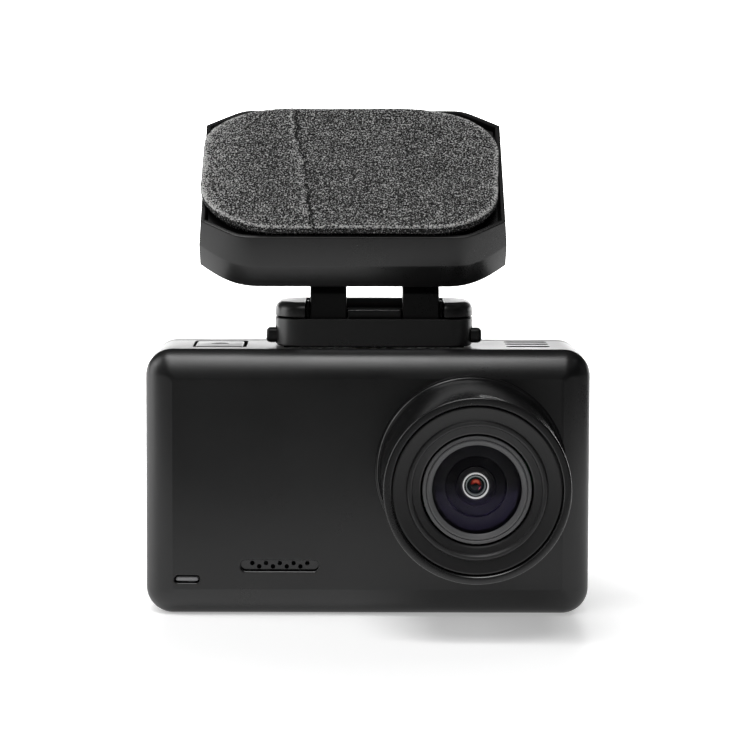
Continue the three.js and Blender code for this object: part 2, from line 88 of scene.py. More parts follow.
# the head's outline at its rim and round its lower box: its half sizes, where a corner starts on the
# long edge and ends on the short one, how far its curve's two handles reach, and its slant at the end
HEAD_RIM_OUTLINE = {
    "half_w": 28.6, "half_v": 18.15, "vertex": 13.7, "start": 18.5, "bend": 22, "reach": 8, "slant": 32,
}
HEAD_BOX_OUTLINE = {
    "half_w": 29.05, "half_v": 20.42, "vertex": 14.5, "start": 17.5, "bend": 22, "reach": 6, "slant": 44,
}
HEAD_FLARE = HEAD_BOX_OUTLINE["half_v"] - HEAD_RIM_OUTLINE["half_v"]
HEAD_BOTTOM, HEAD_WALL, HEAD_RIM = 9.3, 14.6, 19.96
HEAD_MATRIX = Matrix.Translation(AXIS) @ Matrix.Rotation(HEAD_TILT, 4, "X")
ARMS = ((-11.0, -4.1), (6.55, 13.5))
BORE_R = 1.8
LATCH_Z = (51.2, 54.1)
PAD_PROUD = 2.1

CAMERA_AT = (-0.0036, -0.476, 0.10055)  # in metres, like the lights
CAMERA_DOWN, CAMERA_ROLL = 4.8, 0.14  # in degrees
CAMERA_LENS, CAMERA_SHIFT = 121.95, (0.0230, -0.1018)


# ---- camera, light and floor ----
def add_camera():
    data = bpy.data.cameras.new("camera")
    data.sensor_width = 36.0
    data.lens = CAMERA_LENS
    data.shift_x, data.shift_y = CAMERA_SHIFT
    data.clip_start = 0.01
    camera = bpy.data.objects.new("camera", data)
    pitch, roll = math.radians(90 - CAMERA_DOWN), math.radians(CAMERA_ROLL)
    place = Matrix.Translation(CAMERA_AT)
    camera.matrix_world = place @ Matrix.Rotation(pitch, 4, "X") @ Matrix.Rotation(roll, 4, "Z")
    bpy.context.scene.collection.objects.link(camera)
    bpy.context.scene.camera = camera


def add_area(name, place, target, size, power):
    data = bpy.data.lights.new(name, "AREA")
    data.shape = "RECTANGLE"
    data.size, data.size_y = size
    data.energy = power
    lamp = bpy.data.objects.new(name, data)
    lamp.location = place
    lamp.rotation_euler = (Vector(target) - Vector(place)).to_track_quat("-Z", "Y").to_euler()
    bpy.context.scene.collection.objects.link(lamp)


def add_panel(name, corners, material):
    """A flat panel of the set, which isn't part of the object."""
    panel = mesh_object(name, corners, [(0, 1, 2, 3)])
    dress(panel, material)


def add_studio():
    scene = bpy.context.scene
    scene.view_settings.view_transform = "Standard"
    scene.view_settings.look = "None"
    world = bpy.data.worlds.new("studio")
    world.use_nodes = True
    world.node_tree.nodes["Background"].inputs["Color"].default_value = (1, 1, 1, 1)
    world.node_tree.nodes["Background"].inputs["Strength"].default_value = 0.07
    scene.world = world
    middle = (0, 0, 0.05)
    add_area("overhead", (-0.10, -0.21, 0.8), middle, (0.5, 0.22), 3.1)
    add_area("front_softbox", (-0.08, -0.42, 0.68), middle, (0.42, 0.20), 1.1)
    add_area("left_high_softbox", (-0.62, -0.04, 0.52), middle, (0.3, 0.3), 0.9)
    add_area("left_softbox", (-0.8, 0.04, 0.25), middle, (0.4, 0.5), 2.0)
    add_area("right_softbox", (0.8, 0.10, 0.2), middle, (0.3, 0.4), 0.25)

    far, wall_y, wall_top = 1500, 900, 270
    add_panel("floor", [(-far, -far, 0), (far, -far, 0), (far, far, 0), (-far, far, 0)],
              floor_material("floor_white"))
    add_panel("backdrop", [
        (-far, wall_y, 0), (far, wall_y, 0), (far, wall_y, wall_top), (-far, wall_y, wall_top),
    ], backdrop_material("backdrop_white"))
    x, front, back, low, high = 230, -300, 130, 5, 320
    add_panel("flag", [(x, front, low), (x, back, low), (x, back, high), (x, front, high)], BLACK_GLOSS)


# ---- meshes ----
def mesh_object(name, points, faces, sharp=14):
    """A smooth-shaded object whose edges sharper than the given angle stay sharp. Points in mm."""
    mesh = bpy.data.meshes.new(name)
    mesh.from_pydata([Vector(p) * MM for p in points], [], faces)
    obj = bpy.data.objects.new(name, mesh)
    bpy.context.scene.collection.objects.link(obj)
    tidy_mesh(obj, sharp)
    return obj


def tidy_mesh(obj, sharp=14):
    """Merges doubled points, turns the faces of a closed mesh outwards and shades it smooth."""
    mesh = obj.data
    work = bmesh.new()
    work.from_mesh(mesh)
    bmesh.ops.remove_doubles(work, verts=work.verts, dist=1e-7)
    if all(edge.is_manifold for edge in work.edges):
        bmesh.ops.recalc_face_normals(work, faces=work.faces)
    work.to_mesh(mesh)
    work.free()
    mesh.polygons.foreach_set("use_smooth", [True] * len(mesh.polygons))
    mesh.set_sharp_from_angle(angle=math.radians(sharp))


def loft(name, rings, sharp=14):
    """A closed skin over rings of points with the same count, with flat ends."""
    count = len(rings[0])
    points = [p for ring in rings for p in ring]
    faces = []
    for k in range(len(rings) - 1):
        a, b = k * count, (k + 1) * count
        for i in range(count):
            j = (i + 1) % count
            faces.append((a + i, a + j, b + j, b + i))
    faces.append(tuple(reversed(range(count))))
    faces.append(tuple(range(len(points) - count, len(points))))
    return mesh_object(name, points, faces, sharp)


def lathe(name, profile, segments, x=LENS_X, z=LENS_Z):
    """A solid turned about an axis along Y. The profile is (radius, y); one that starts and ends
    on the axis makes a solid, and any other is a closed loop that makes a ring."""
    on_axis = profile[0][0] == 0
    points, rows = [], []
    for radius, y in profile:
        if radius == 0:
            rows.append([len(points)] * segments)
            points.append((x, y, z))
            continue
        rows.append(list(range(len(points), len(points) + segments)))
        for i in range(segments):
            angle = 2 * math.pi * i / segments
            points.append((x + radius * math.sin(angle), y, z + radius * math.cos(angle)))
    if not on_axis:
        rows.append(rows[0])
    faces = []
    for low, high in zip(rows, rows[1:]):
        for i in range(segments):
            j = (i + 1) % segments
            corners = dict.fromkeys((low[i], low[j], high[j], high[i]))
            if len(corners) > 2:
                faces.append(tuple(corners))
    return mesh_object(name, points, faces)


def rounded_rect(width, height, radius, steps, middle):
    """Points round a rounded rectangle."""
    radius = min(radius, width / 2 - 0.001, height / 2 - 0.001)
    points = []
    for side, up, start in ((1, -1, -90), (1, 1, 0), (-1, 1, 90), (-1, -1, 180)):
        cx = middle[0] + side * (width / 2 - radius)
        cy = middle[1] + up * (height / 2 - radius)
        for i in range(steps + 1):
            angle = math.radians(start + 90 * i / steps)
            points.append((cx + radius * math.cos(angle), cy + radius * math.sin(angle)))
    return points


def circle(radius, middle=(0, 0), steps=32):
    angles = [2 * math.pi * i / steps for i in range(steps)]
    return [(middle[0] + radius * math.cos(a), middle[1] + radius * math.sin(a)) for a in angles]


def facing(points, y):
    """A flat outline stood up to face along Y."""
    return [(u, y, v) for u, v in points]


def lying(points, z):
    """A flat outline laid level at a height."""
    return [(u, v, z) for u, v in points]


def in_head(points, w):
    """A flat outline in the head's own plane, at a height above the axle along the head's normal."""
    return [HEAD_MATRIX @ Vector((u, v, w)) for u, v in points]


def across_head(points, x):
    """An outline in the head's side view, as (up its slope, height above the axle), at a place across."""
    return [HEAD_MATRIX @ Vector((x, v, w)) for v, w in points]


def arc_steps(count):
    """(how far in, how far up) round a quarter circle, each from 0 to 1."""
    quarter = [math.radians(90 * i / count) for i in range(count + 1)]
    return [(1 - math.cos(a), math.sin(a)) for a in quarter]


def box_between(low, high):
    (x0, y0, z0), (x1, y1, z1) = low, high
    return loft("box", [[(x0, y0, z), (x1, y0, z), (x1, y1, z), (x0, y1, z)] for z in (z0, z1)])


def slot_cutter(outline, place, surface, depth, flare):
    """A hole's cutter: its outline is a little wider at the surface, which rounds the hole's mouth.
    outline(grow) gives the points, place(points, level) stands them up, depth is signed."""
    way = 1 if depth > 0 else -1
    levels = [(flare, surface - way * 0.5)]
    levels += [(flare * (1 - up), surface + way * flare * inn) for inn, up in arc_steps(3)]
    levels.append((0, surface + depth))
    return loft("cutter", [place(outline(grow), level) for grow, level in levels])


def boolean(target, tools, operation="DIFFERENCE"):
    """Joins or cuts closed meshes and applies the result."""
    for tool in tools:
        step = target.modifiers.new("boolean", "BOOLEAN")
        step.object, step.operation, step.solver = tool, operation, "EXACT"
    apply_modifiers(target)
    for tool in tools:
        bpy.data.objects.remove(tool)
    tidy_mesh(target)


def apply_modifiers(obj):
    graph = bpy.context.evaluated_depsgraph_get()
    obj.data = bpy.data.meshes.new_from_object(obj.evaluated_get(graph))
    obj.modifiers.clear()


def bevel(obj, width, segments=3, angle=35):
    """Rounds the edges that are sharper than the angle, and applies the result."""
    step = obj.modifiers.new("bevel", "BEVEL")
    step.width, step.segments, step.limit_method = width * MM, segments, "ANGLE"
    step.angle_limit = math.radians(angle)
    step.use_clamp_overlap = True
    apply_modifiers(obj)
    tidy_mesh(obj)


def dress(obj, material):
    """Puts one material on every face."""
    obj.data.materials.clear()
    obj.data.materials.append(material)
    obj.data.polygons.foreach_set("material_index", [0] * len(obj.data.polygons))


def piece(obj, name, body, material, slot, *nodes):
    """Names a finished shape, dresses it, hangs it on its body and hides the CAD nodes it stands for."""
    obj.name = obj.data.name = name
    dress(obj, material)
    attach(obj, body)
    if nodes:
        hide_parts(*nodes)
    return obj


# ---- materials ----
class Nodes:
    """Short names for making a material's nodes."""

    def __init__(self, name):
        self.material = bpy.data.materials.new(name)
        self.material.use_nodes = True
        self.tree = self.material.node_tree
        self.shader = self.tree.nodes["Principled BSDF"]
        self.place = self.node("ShaderNodeTexCoord").outputs["Object"]

    def node(self, kind, **settings):
        made = self.tree.nodes.new(kind)
        for key, value in settings.items():
            setattr(made, key, value)
        return made

    def link(self, source, target):
        self.tree.links.new(source, target)

    def set(self, **sockets):
        for key, value in sockets.items():
            self.shader.inputs[key.replace("_", " ")].default_value = value

    def noise(self, scale, detail=2.0, roughness=0.5):
        made = self.node("ShaderNodeTexNoise")
        made.inputs["Scale"].default_value = scale
        made.inputs["Detail"].default_value = detail
        made.inputs["Roughness"].default_value = roughness
        self.link(self.place, made.inputs["Vector"])
        return made.outputs["Fac"]

    def ramp(self, fac, stops):
        made = self.node("ShaderNodeValToRGB")
        elements = made.color_ramp.elements
        while len(elements) < len(stops):
            elements.new(0.5)
        for element, (position, colour) in zip(elements, stops):
            element.position = position
            element.color = (*colour, 1)
        self.link(fac, made.inputs["Fac"])
        return made.outputs["Color"]

    def span(self, fac, low, high, from_low=0.3, from_high=0.7):
        """Maps a value that mostly lies between two limits to between two others."""
        made = self.node("ShaderNodeMapRange")
        made.inputs["From Min"].default_value = from_low
        made.inputs["From Max"].default_value = from_high
        made.inputs["To Min"].default_value = low
        made.inputs["To Max"].default_value = high
        self.link(fac, made.inputs["Value"])
        return made.outputs["Result"]

    def math(self, operation, a, b=None):
        made = self.node("ShaderNodeMath", operation=operation)
        for socket, value in zip(made.inputs, (a, b)):
            if value is None:
                continue
            if isinstance(value, (int, float)):
                socket.default_value = value
            else:
                self.link(value, socket)
        return made.outputs[0]

    def mix(self, fac, a, b):
        made = self.node("ShaderNodeMix", data_type="RGBA")
        self.link(fac, made.inputs[0])
        for socket, value in ((made.inputs[6], a), (made.inputs[7], b)):
            if isinstance(value, tuple):
                socket.default_value = (*value, 1)
            else:
                self.link(value, socket)
        return made.outputs[2]

    def bump(self, height, strength, distance_mm):
        made = self.node("ShaderNodeBump")
        made.inputs["Strength"].default_value = strength
        made.inputs["Distance"].default_value = distance_mm * MM
        self.link(height, made.inputs["Height"])
        self.link(made.outputs["Normal"], self.shader.inputs["Normal"])

    def colour(self, source):
        self.link(source, self.shader.inputs["Base Color"])

    def rough(self, source):
        self.link(source, self.shader.inputs["Roughness"])

    def surface(self, shader):
        """Gives the material another shader in place of its first."""
        self.tree.nodes.remove(self.shader)
        self.link(shader.outputs[0], self.tree.nodes["Material Output"].inputs["Surface"])

    def from_lens_axis(self):
        """How far a point lies from the lens's axis: across, up and in a straight line."""
        split = self.node("ShaderNodeSeparateXYZ")
        self.link(self.place, split.inputs[0])
        across = self.math("SUBTRACT", split.outputs["X"], LENS_X * MM)
        up = self.math("SUBTRACT", split.outputs["Z"], LENS_Z * MM)
        squares = self.math("ADD", self.math("MULTIPLY", across, across), self.math("MULTIPLY", up, up))
        return across, up, self.math("SQRT", squares)


def moulded_plastic(name, dark, light, rough, grain_mm, depth_mm):
    """Moulded black plastic: spark-eroded grain, faint cloudiness and uneven gloss."""
    made = Nodes(name)
    clouds = made.noise(60, 3)
    grain = made.noise(1000 / grain_mm, 2, 0.6)
    made.colour(made.ramp(clouds, [(0.3, dark), (0.7, light)]))
    made.rough(made.span(made.math("ADD", clouds, made.math("MULTIPLY", grain, 0.5)),
                         rough - 0.04, rough + 0.05, 0.5, 1.0))
    made.bump(grain, 0.35, depth_mm)
    return made.material


def turned_paint(name, base, rough, groove_mm=0.12):
    """Painted rings with faint turning marks about the lens axis."""
    made = Nodes(name)
    radius = made.from_lens_axis()[2]
    turns = made.math("SINE", made.math("MULTIPLY", radius, 2 * math.pi / (groove_mm * MM)))
    grain = made.noise(5000, 2)
    lift = tuple(min(1, c * 1.25) for c in base)
    made.colour(made.mix(made.noise(150, 3), base, lift))
    made.rough(made.span(grain, rough - 0.05, rough + 0.07))
    made.bump(made.math("ADD", made.math("MULTIPLY", turns, 0.25), grain), 0.25, 0.01)
    return made.material


def plain_metal(name, base, rough, stretch=1.0):
    """Bare metal with fine scratches that run one way."""
    made = Nodes(name)
    mapping = made.node("ShaderNodeMapping")
    mapping.inputs["Scale"].default_value = (1, stretch, stretch)
    made.link(made.place, mapping.inputs["Vector"])
    made.place = mapping.outputs["Vector"]
    scratches = made.noise(2500, 3)
    made.colour(made.mix(made.noise(300, 2), base, tuple(c * 0.8 for c in base)))
    made.rough(made.span(scratches, rough - 0.08, rough + 0.12))
    made.set(Metallic=1.0)
    made.bump(scratches, 0.15, 0.01)
    return made.material


def glossy(name, base, rough=0.12):
    """Smooth plastic, glass or glaze with faint smears."""
    made = Nodes(name)
    smears = made.noise(90, 4)
    made.colour(made.mix(made.noise(40, 2), base, tuple(c * 1.6 for c in base)))
    made.rough(made.span(smears, rough * 0.7, rough * 1.4))
    made.bump(made.noise(3000, 2), 0.04, 0.01)
    return made.material


def circuit_board(name):
    """Green solder mask over copper tracks, with drilled pads."""
    made = Nodes(name)
    tracks = made.node("ShaderNodeTexBrick")
    tracks.inputs["Scale"].default_value = 260
    tracks.inputs["Mortar Size"].default_value = 0.03
    tracks.inputs["Color1"].default_value = (0.010, 0.070, 0.028, 1)
    tracks.inputs["Color2"].default_value = (0.008, 0.050, 0.022, 1)
    tracks.inputs["Mortar"].default_value = (0.030, 0.150, 0.060, 1)
    made.link(made.place, tracks.inputs["Vector"])
    pads = made.node("ShaderNodeTexVoronoi")
    pads.inputs["Scale"].default_value = 420
    made.link(made.place, pads.inputs["Vector"])
    spots = made.math("LESS_THAN", pads.outputs["Distance"], 0.16)
    made.colour(made.mix(spots, tracks.outputs["Color"], (0.75, 0.70, 0.55)))
    made.rough(made.span(made.noise(800), 0.3, 0.5))
    made.bump(tracks.outputs["Fac"], 0.2, 0.03)
    return made.material


def foam_material(name):
    """Cut foam: a dark open face with pale torn cell walls. A value kept on each point lightens or darkens
    it: scuffs and random tone, but also painted light, painted shade down the fold and painted highlights
    beside the fold and along the rim.
    """
    made = Nodes(name)
    wear_and_painted_light = made.node("ShaderNodeAttribute", attribute_name="wear_and_painted_light").outputs["Fac"]
    cells = made.noise(3300, 1.0, 0.6)
    fine = made.noise(7200, 1.0, 0.5)
    patches = made.noise(420, 3, 0.6)
    speck = made.math("ADD", made.math("MULTIPLY", cells, 0.66), made.math("MULTIPLY", fine, 0.34))
    lifted = made.math("ADD", speck, made.math("MULTIPLY", wear_and_painted_light, 0.10))
    lifted = made.math("ADD", lifted, made.math("MULTIPLY", made.math("SUBTRACT", patches, 0.5), 0.05))
    made.colour(made.ramp(lifted, [
        (0.42, (0.006, 0.006, 0.006)), (0.49, (0.022, 0.022, 0.022)),
        (0.55, (0.12, 0.12, 0.12)), (0.63, (0.55, 0.55, 0.54)),
    ]))
    made.set(Roughness=0.95, Specular_IOR_Level=0.2)
    made.bump(speck, 0.8, 0.25)
    return made.material


def coated_glass(name, tint, film=0.85, through=0.6):
    """Glass that is seen straight through, with a coloured anti-reflection coating."""
    made = Nodes(name)
    clear = made.node("ShaderNodeBsdfTransparent")
    clear.inputs["Color"].default_value = (through, through, through, 1)
    shine = made.node("ShaderNodeBsdfGlossy")
    shine.inputs["Roughness"].default_value = 0.015
    shades = made.ramp(made.noise(70, 2), [(0.35, tint), (0.65, tuple(c * 0.75 for c in tint))])
    made.link(shades, shine.inputs["Color"])
    fresnel = made.node("ShaderNodeFresnel")
    fresnel.inputs["IOR"].default_value = 1.45
    blend = made.node("ShaderNodeMixShader")
    made.link(made.math("MULTIPLY", fresnel.outputs[0], film), blend.inputs[0])
    made.link(clear.outputs[0], blend.inputs[1])
    made.link(shine.outputs[0], blend.inputs[2])
    made.surface(blend)
    return made.material


def clear_glass(name):
    """The uncoated side of a lens: light goes straight through, with hardly any loss."""
    made = Nodes(name)
    clear = made.node("ShaderNodeBsdfTransparent")
    shades = made.ramp(made.noise(200), [(0.3, (0.96, 0.96, 0.96)), (0.7, (1, 1, 1))])
    made.link(shades, clear.inputs["Color"])
    made.surface(clear)
    return made.material


def lit_ring(name, base, glow):
    """A bright machined ring deep in the lens. It glows as painted light, standing in for the light that
    hardly gets there.
    """
    made = Nodes(name)
    shade = made.mix(made.noise(900, 2), base, tuple(c * 0.6 for c in base))
    made.colour(shade)
    made.rough(made.span(made.noise(2500), 0.3, 0.45))
    made.link(shade, made.shader.inputs["Emission Color"])
    made.set(Emission_Strength=glow)
    return made.material


def pupil_material(name):
    """The coated inner lens: a dark green middle under painted reflections on its coating, a red and orange
    arc and a pink spot. It glows a little, as painted light.
    """
    made = Nodes(name)
    across, up, radius = made.from_lens_axis()
    angle = made.math("ARCTAN2", up, across)
    # a painted reflection: a red and orange arc round the middle, over its upper half
    ring = made.math("SUBTRACT", 1.0, made.math(
        "MULTIPLY", made.math("ABSOLUTE", made.math("SUBTRACT", radius, 0.78 * MM)), 2400.0))
    sweep = made.math("SUBTRACT", 1.0, made.math(
        "MULTIPLY", made.math("ABSOLUTE", made.math("SUBTRACT", angle, 1.45)), 0.62))
    arc = made.math("MULTIPLY", made.math("MAXIMUM", ring, 0.0), made.math("MAXIMUM", sweep, 0.0))
    mottled_painted_reflection = made.math("MULTIPLY", arc, made.span(made.noise(1600, 2), 0.7, 1.9))
    base = made.ramp(mottled_painted_reflection, [
        (0.0, (0.004, 0.010, 0.007)), (0.18, (0.12, 0.010, 0.008)),
        (0.45, (0.62, 0.05, 0.03)), (0.80, (0.95, 0.20, 0.12)),
    ])
    # a painted reflection: a pink spot low on the right
    off_x = made.math("SUBTRACT", across, 0.72 * MM)
    off_z = made.math("ADD", up, 0.50 * MM)
    lean = made.math("ADD", off_x, made.math("MULTIPLY", off_z, -0.6))
    rise = made.math("ADD", off_z, made.math("MULTIPLY", off_x, 0.6))
    away = made.math("ADD", made.math("ABSOLUTE", made.math("MULTIPLY", lean, 3.2)),
                     made.math("ABSOLUTE", rise))
    spot = made.span(away, 1.0, 0.0, 0.22 * MM, 0.62 * MM)
    shade = made.mix(spot, base, (0.95, 0.16, 0.30))
    made.colour(shade)
    # it glows faintly in its own colours, as painted light
    made.set(Roughness=0.12, Emission_Strength=0.35)
    made.link(shade, made.shader.inputs["Emission Color"])
    return made.material


def floor_material(name):
    """A white table that glows more and more with distance, so that only the floor near the object
    keeps soft shadows. In front, beyond the picture, it fades."""
    made = Nodes(name)
    length = made.node("ShaderNodeVectorMath", operation="LENGTH")
    made.link(made.place, length.inputs[0])
    made.set(Roughness=0.42, Specular_IOR_Level=0.25, Emission_Color=(1, 1, 1, 1))
    glow = made.span(length.outputs["Value"], 0.36, 1.0, 0.05, 0.26)
    split = made.node("ShaderNodeSeparateXYZ")
    made.link(made.place, split.inputs[0])
    fade = made.span(split.outputs["Y"], 0.1, 1.0, -0.14, -0.098)
    made.colour(made.mix(fade, (0.25, 0.25, 0.25), (0.86, 0.86, 0.86)))
    made.link(made.math("MULTIPLY", glow, fade), made.shader.inputs["Emission Strength"])
    return made.material


def backdrop_material(name):
    made = Nodes(name)
    made.set(Base_Color=(0.9, 0.9, 0.9, 1), Roughness=0.9, Emission_Color=(1, 1, 1, 1),
             Emission_Strength=2.4)
    return made.material


CASING = moulded_plastic("casing_plastic", (0.0035, 0.0035, 0.0037), (0.0055, 0.0055, 0.0057),
                         0.31, 0.28, 0.02)
BARREL = moulded_plastic("barrel_plastic", (0.0040, 0.0040, 0.0042), (0.0060, 0.0060, 0.0062),
                         0.24, 0.28, 0.012)
MOUNT = moulded_plastic("mount_plastic", (0.0040, 0.0040, 0.0041), (0.0060, 0.0060, 0.0061),
                        0.29, 0.22, 0.010)
RINGS = turned_paint("ring_paint", (0.0085, 0.0083, 0.0086), 0.36)
RETAINER = turned_paint("retainer_paint", (0.085, 0.085, 0.087), 0.36, 0.09)
BLACK_GLOSS = glossy("black_gloss", (0.006, 0.006, 0.007))
SCREEN = glossy("screen_glass", (0.003, 0.003, 0.0035), 0.05)
PALE = glossy("light_pipe_plastic", (0.22, 0.22, 0.225), 0.35)
PUPIL_RING = lit_ring("pupil_ring_metal", (0.88, 0.88, 0.88), 1.1)
GREY_RING = lit_ring("inner_ring_metal", (0.30, 0.33, 0.33), 0.5)
CLEAR_GLASS = clear_glass("clear_glass")
STEEL = plain_metal("steel", (0.56, 0.57, 0.58), 0.3, 6.0)
AXLE = plain_metal("blackened_steel", (0.030, 0.030, 0.031), 0.42, 6.0)
BRASS = plain_metal("brass", (0.72, 0.50, 0.20), 0.3)
BOARD = circuit_board("circuit_board")
CERAMIC = glossy("ceramic", (0.45, 0.38, 0.28), 0.5)
FOAM = foam_material("foam")
FRONT_GLASS = coated_glass("front_glass", (0.30, 0.25, 0.55))
INNER_GLASS = coated_glass("inner_glass", (0.25, 0.75, 0.45), 0.7)
PUPIL = pupil_material("pupil")


# ---- casing ----
def casing_outline(inset, steps=16):
    return rounded_rect(BODY_W - 2 * inset, BODY_H - 2 * inset, max(CORNER - inset, 0.8),
                        steps, (0, BODY_H / 2))


def shoulder_rings(steps=22):
    """The convex shoulder from the sides to the flat face."""
    start, bend, end = Vector((0, 0)), Vector((0.17, 0.67)), Vector((1, 1))
    rings = []
    for i in range(steps + 1):
        t = i / steps
        point = (1 - t) ** 2 * start + 2 * t * (1 - t) * bend + t * t * end
        rings.append((SHOULDER * point.x, EDGE_Y + (FACE_Y - EDGE_Y) * point.y))
    return rings


def obround(length, height, middle, steps=8):
    """The outline of a slot with round ends, which slot_cutter can grow."""
    return lambda grow: rounded_rect(length + 2 * grow, height + 2 * grow, height / 2 + grow,
                                     steps, middle)


def hole(radius, middle, steps=10):
    return obround(2 * radius, 2 * radius, middle, steps)


SPEAKER_AT, WINDOW_AT = (-16.6, 9.7), (-34.1, 7.1)
SLOT_SIZE, WINDOW_SIZE = (14.8, 2.1), (4.9, 1.5)
VENT_SIZE, VENT_X, VENT_YS = (8.4, 2.1), 30.6, (-4.6, -0.3, 3.6)
PORT_AT, PORT_SIZE, PORT_DEPTH = (-28.3, -1.05), (10.3, 11.7), 1.5
SCREWS = ((-38, 5.4), (38, 5.4), (38, 45.1), (-38, 45.1))
BUTTONS = ("menu", "down", "up", "power")


def button_place(name):
    """A rear button's lowest and highest corners, and its middle on the back."""
    low, high = cad_mm("button_" + name)
    return low, high, ((low.x + high.x) / 2, (low.z + high.z) / 2)


def make_front_shell():
    rings = [(0.3, PART_Y), (0.08, PART_Y - 0.08), (0, PART_Y - 0.3), (0, EDGE_Y + 0.5)]
    rings += shoulder_rings()
    shell = loft("front_shell", [facing(casing_outline(inset), y) for inset, y in rings])
    hollow = loft("hollow", [facing(casing_outline(inset, 8), y) for inset, y in (
        (WALL, PART_Y + 1), (WALL, EDGE_Y + 0.6), (SHOULDER - 0.2, FACE_Y + WALL))])
    boolean(shell, [hollow])
    under = TOP_Z - WALL
    boss = box_between((-35, -8.5, 46.5), (-22, 5.7, under + 0.5))
    boolean(shell, [boss], "UNION")
    cutters = [
        slot_cutter(hole(14.35, (LENS_X, LENS_Z), 16), facing, FACE_Y, WALL + 1, 0.1),
        slot_cutter(obround(*SLOT_SIZE, SPEAKER_AT), facing, FACE_Y, 1.2, 0.3),
        box_between((SPEAKER_AT[0] - 8.9, FACE_Y + 1, SPEAKER_AT[1] - 2.5),
                    (SPEAKER_AT[0] + 8.9, FACE_Y + WALL + 1, SPEAKER_AT[1] + 2.5)),
        slot_cutter(obround(*WINDOW_SIZE, WINDOW_AT), facing, FACE_Y, WALL + 1, 0.2),
        slot_cutter(lambda grow: rounded_rect(PORT_SIZE[0] + 2 * grow, PORT_SIZE[1] + 2 * grow,
                                              0.9 + grow, 5, PORT_AT), lying, TOP_Z, -PORT_DEPTH, 0.05),
        slot_cutter(obround(9.2, 4, (PORT_AT[0], 0.1)), lying, TOP_Z - 1, -4, 0.1),
        box_between((-4.5, 2.0, under - 1), (7, 5.0, TOP_Z + 1)),
        box_between((-BODY_W / 2 - 1, -0.6, 19), (-BODY_W / 2 + 3, 1.3, 31)),
        box_between((-16.05, -6.7, TOP_Z - 3), (-13.15, -3.7, TOP_Z + 1)),
        box_between((15.45, -6.7, TOP_Z - 3), (18.35, -3.7, TOP_Z + 1)),
    ]
    cutters += [slot_cutter(obround(*VENT_SIZE, (VENT_X, y)), lying, TOP_Z, -WALL - 1, 0.02)
                for y in VENT_YS]
    boolean(shell, cutters)
    return piece(shell, "casing_front", "camera", CASING, "casing", "front_shell")


def make_rear_cover():
    rings = [(0.3, PART_Y + 0.3), (0.08, PART_Y + 0.38), (0, PART_Y + 0.6), (0, BACK_Y - 1.6)]
    rings += [(1.6 * inn, BACK_Y - 1.6 + 1.6 * up) for inn, up in arc_steps(8)]
    cover = loft("rear_cover", [facing(casing_outline(inset), y) for inset, y in rings])
    hollow = loft("hollow", [facing(casing_outline(WALL, 8), y) for y in (PART_Y - 1, BACK_Y - WALL)])
    boolean(cover, [hollow])

    def recess(wider, radius):
        """The outline of a recess that is wider than the screen's glass."""
        return lambda grow: rounded_rect(SCREEN_W + wider + 2 * grow, SCREEN_H + wider + 2 * grow,
                                         radius, 6, SCREEN_AT)

    cutters = [slot_cutter(recess(0.6, 1.5), facing, BACK_Y, -1.1, 0.1),
               slot_cutter(recess(-3, 1.0), facing, BACK_Y - 1, -2, 0.05)]
    for name in BUTTONS:
        at = button_place(name)[2]
        cutters.append(slot_cutter(obround(7.7, 5.1, at), facing, BACK_Y, -3, 0.15))
    for at in SCREWS:
        cutters.append(slot_cutter(hole(2.5, at), facing, BACK_Y, -1.0, 0.15))
        cutters.append(slot_cutter(hole(1.25, at, 6), facing, BACK_Y - 0.8, -2, 0.02))
    boolean(cover, cutters)
    return piece(cover, "casing_rear", "camera", CASING, "casing", "rear_cover")


def make_rear_fittings():
    rings = [(0, SCREEN_LOW.y), (0, SCREEN_HIGH.y - 0.2)]
    rings += [(0.2 * inn, SCREEN_HIGH.y - 0.2 + 0.2 * up) for inn, up in arc_steps(3)]
    glass = loft("glass", [
        facing(rounded_rect(SCREEN_W - 2 * inset, SCREEN_H - 2 * inset, 1.2 - inset, 8, SCREEN_AT), y)
        for inset, y in rings])
    piece(glass, "screen_cover_glass", "camera", SCREEN, "screen", "screen_glass")
    for name in BUTTONS:
        node = "button_" + name
        low, high, at = button_place(name)
        rings = [(-0.8, low.y), (-0.8, low.y + 0.8), (0.0, low.y + 0.8), (0, high.y - 0.6)]
        rings += [(0.6 * inn, high.y - 0.6 + 0.45 * up) for inn, up in arc_steps(5)]
        rings += [(1.2, high.y - 0.1), (1.8, high.y - 0.22)]
        cap = loft("cap", [facing(rounded_rect(7 - 2 * inset, 4.4 - 2 * inset, 2.15 - inset, 8, at), y)
                           for inset, y in rings])
        piece(cap, name + "_button_cap", node, MOUNT, "mount_plastic", node)
    for number, (x, z) in enumerate(SCREWS, 1):
        low, high = cad_mm("casing_screw_%d" % number)
        screw = lathe("screw", [(0, low.y), (0.7, low.y), (0.9, low.y + 0.3), (0.9, high.y - 0.9),
                                (2.0, high.y - 0.75), (2.1, high.y - 0.45), (1.8, high.y - 0.1),
                                (1.2, high.y), (0, high.y)], 32, x, z)
        cross = [box_between((x - half_x, high.y - 0.5, z - half_z), (x + half_x, high.y + 1, z + half_z))
                 for half_x, half_z in ((1.15, 0.22), (0.22, 1.15))]
        boolean(screw, cross)
        piece(screw, "rear_screw_%d" % number, "camera", STEEL, "steel", "casing_screw_%d" % number)


